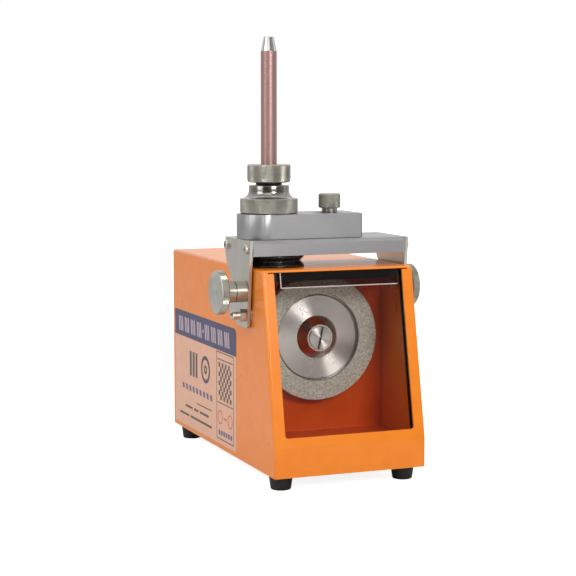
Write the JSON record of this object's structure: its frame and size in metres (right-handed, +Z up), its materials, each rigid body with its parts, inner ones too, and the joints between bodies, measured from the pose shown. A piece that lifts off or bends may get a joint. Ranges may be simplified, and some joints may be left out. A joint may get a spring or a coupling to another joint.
{
  "type": "tungsten electrode grinder",
  "caption": "Bench grinder for electrodes: sheet-metal housing with a leaning window onto a flat diamond wheel, and a tilting bridge with a sliding, lift-out electrode holder.",
  "frame": {"origin": "on the ground under the middle of the bounding box", "axes": "+Z up, the window faces -Y, +X to the right of someone looking at the window"},
  "size_m": [0.172, 0.2572, 0.3557],
  "materials": {
    "orange_paint": "glossy powder coat",
    "zinc_sheet": "zinc plated",
    "black_rubber": "moulded rubber",
    "clear_panel": "clear sheet",
    "label_film": "printed vinyl",
    "stainless": "brushed stainless steel",
    "satin_aluminium": "satin anodised",
    "nickel_plate": "satin nickel plate",
    "polished_steel": "turned and polished",
    "bronze_anodised": "rose bronze anodised",
    "diamond_grit": "plated diamond grit",
    "wheel_steel": "ground steel",
    "dark_steel": "laminated steel",
    "copper": "enamelled copper",
    "cast_aluminium": "die cast",
    "black_plastic": "moulded plastic",
    "black_oxide": "black oxide"
  },
  "bodies": {
    "housing": {"casing_shell": "orange_paint", "base_pan": "zinc_sheet", "rear_panel": "orange_paint", "rear_panel_screws": "stainless", "rubber_feet": "black_rubber", "foot_screws": "zinc_sheet", "foot_nuts": "zinc_sheet", "window_pane": "clear_panel", "pane_seals": "black_rubber", "window_strip": "clear_panel", "chamber_liner": "orange_paint", "side_label": "label_film", "motor_bracket": "zinc_sheet", "motor_face_bolts": "zinc_sheet", "bracket_screws": "zinc_sheet", "motor_front_bell": "cast_aluminium", "motor_rear_bell": "cast_aluminium", "motor_can": "cast_aluminium", "stator_core": "dark_steel", "stator_windings": "copper", "bearing_outer_rings": "polished_steel", "bearing_balls": "polished_steel", "power_inlet": "black_plastic", "inlet_pins": "copper", "inlet_screws": "stainless", "switch_body": "black_plastic", "run_capacitor": "satin_aluminium", "terminal_block": "black_plastic", "pivot_studs": "orange_paint", "pivot_washers": "stainless", "pivot_nuts": "stainless", "clamp_nuts": "orange_paint", "clamp_bush": "nickel_plate", "rubber_boot": "black_rubber"},
    "wheel_spindle": {"rotor_core": "dark_steel", "bearing_inner_rings": "polished_steel", "motor_shaft": "polished_steel", "wheel_hub": "wheel_steel", "cooling_fan": "black_plastic", "wheel_core": "wheel_steel", "diamond_ring": "diamond_grit", "wheel_flange": "polished_steel", "nose_cone": "polished_steel", "wheel_screw": "polished_steel"},
    "bridge": {"left_side_plate": "stainless", "right_side_plate": "stainless", "bridge_plate": "satin_aluminium", "side_plate_screws": "stainless"},
    "guide": {"guide_block": "satin_aluminium", "guide_sleeve": "nickel_plate"},
    "clamp_screw": {"thumb_screw": "nickel_plate"},
    "guide_ring": {"feed_ring": "nickel_plate"},
    "holder": {"holder_bush": "black_oxide"},
    "holder_rotor": {"holder_nut": "nickel_plate", "holder_stem": "bronze_anodised", "holder_cap": "polished_steel", "collet_tube": "nickel_plate"},
    "knob_left": {"left_knob": "nickel_plate"},
    "knob_right": {"right_knob": "nickel_plate"},
    "rocker": {"switch_rocker": "black_plastic"}
  },
  "joints": [
    {"name": "wheel_spin", "type": "hinge", "parent": "housing", "child": "wheel_spindle", "pos_m": [0.00895, 0, 0.111], "axis": [0, 1, 0], "continuous": true},
    {"name": "bridge_tilt", "type": "hinge", "parent": "housing", "child": "bridge", "pos_m": [0.00795, -0.0736, 0.1344], "axis": [1, 0, 0], "range_deg": [0, 30], "deforming": ["rubber_boot"]},
    {"name": "guide_slide", "type": "slide", "parent": "bridge", "child": "guide", "axis": [1, 0, 0], "range_m": [0, 0.012]},
    {"name": "clamp_screw_turn", "type": "hinge", "parent": "bridge", "child": "clamp_screw", "pos_m": [0.01765, -0.0601, 0.216], "axis": [0, 0, 1], "range_deg": [0, 270]},
    {"name": "guide_ring_turn", "type": "hinge", "parent": "guide", "child": "guide_ring", "pos_m": [-0.03535, -0.0601, 0.222], "axis": [0, 0, 1], "continuous": true},
    {"name": "holder_lift", "type": "slide", "parent": "guide", "child": "holder", "axis": [0, 0, 1], "range_m": [0, 0.04]},
    {"name": "holder_spin", "type": "hinge", "parent": "holder", "child": "holder_rotor", "pos_m": [-0.03535, -0.0601, 0.247], "axis": [0, 0, 1], "continuous": true},
    {"name": "left_knob_turn", "type": "hinge", "parent": "housing", "child": "knob_left", "pos_m": [-0.07705, -0.0736, 0.1535], "axis": [1, 0, 0], "range_deg": [0, 270]},
    {"name": "right_knob_turn", "type": "hinge", "parent": "housing", "child": "knob_right", "pos_m": [0.08095, -0.0736, 0.1535], "axis": [1, 0, 0], "range_deg": [-270, 0]},
    {"name": "switch_rock", "type": "hinge", "parent": "housing", "child": "rocker", "pos_m": [-0.02205, 0.1233, 0.044], "axis": [1, 0, 0], "range_deg": [0, 16]}
  ]
}
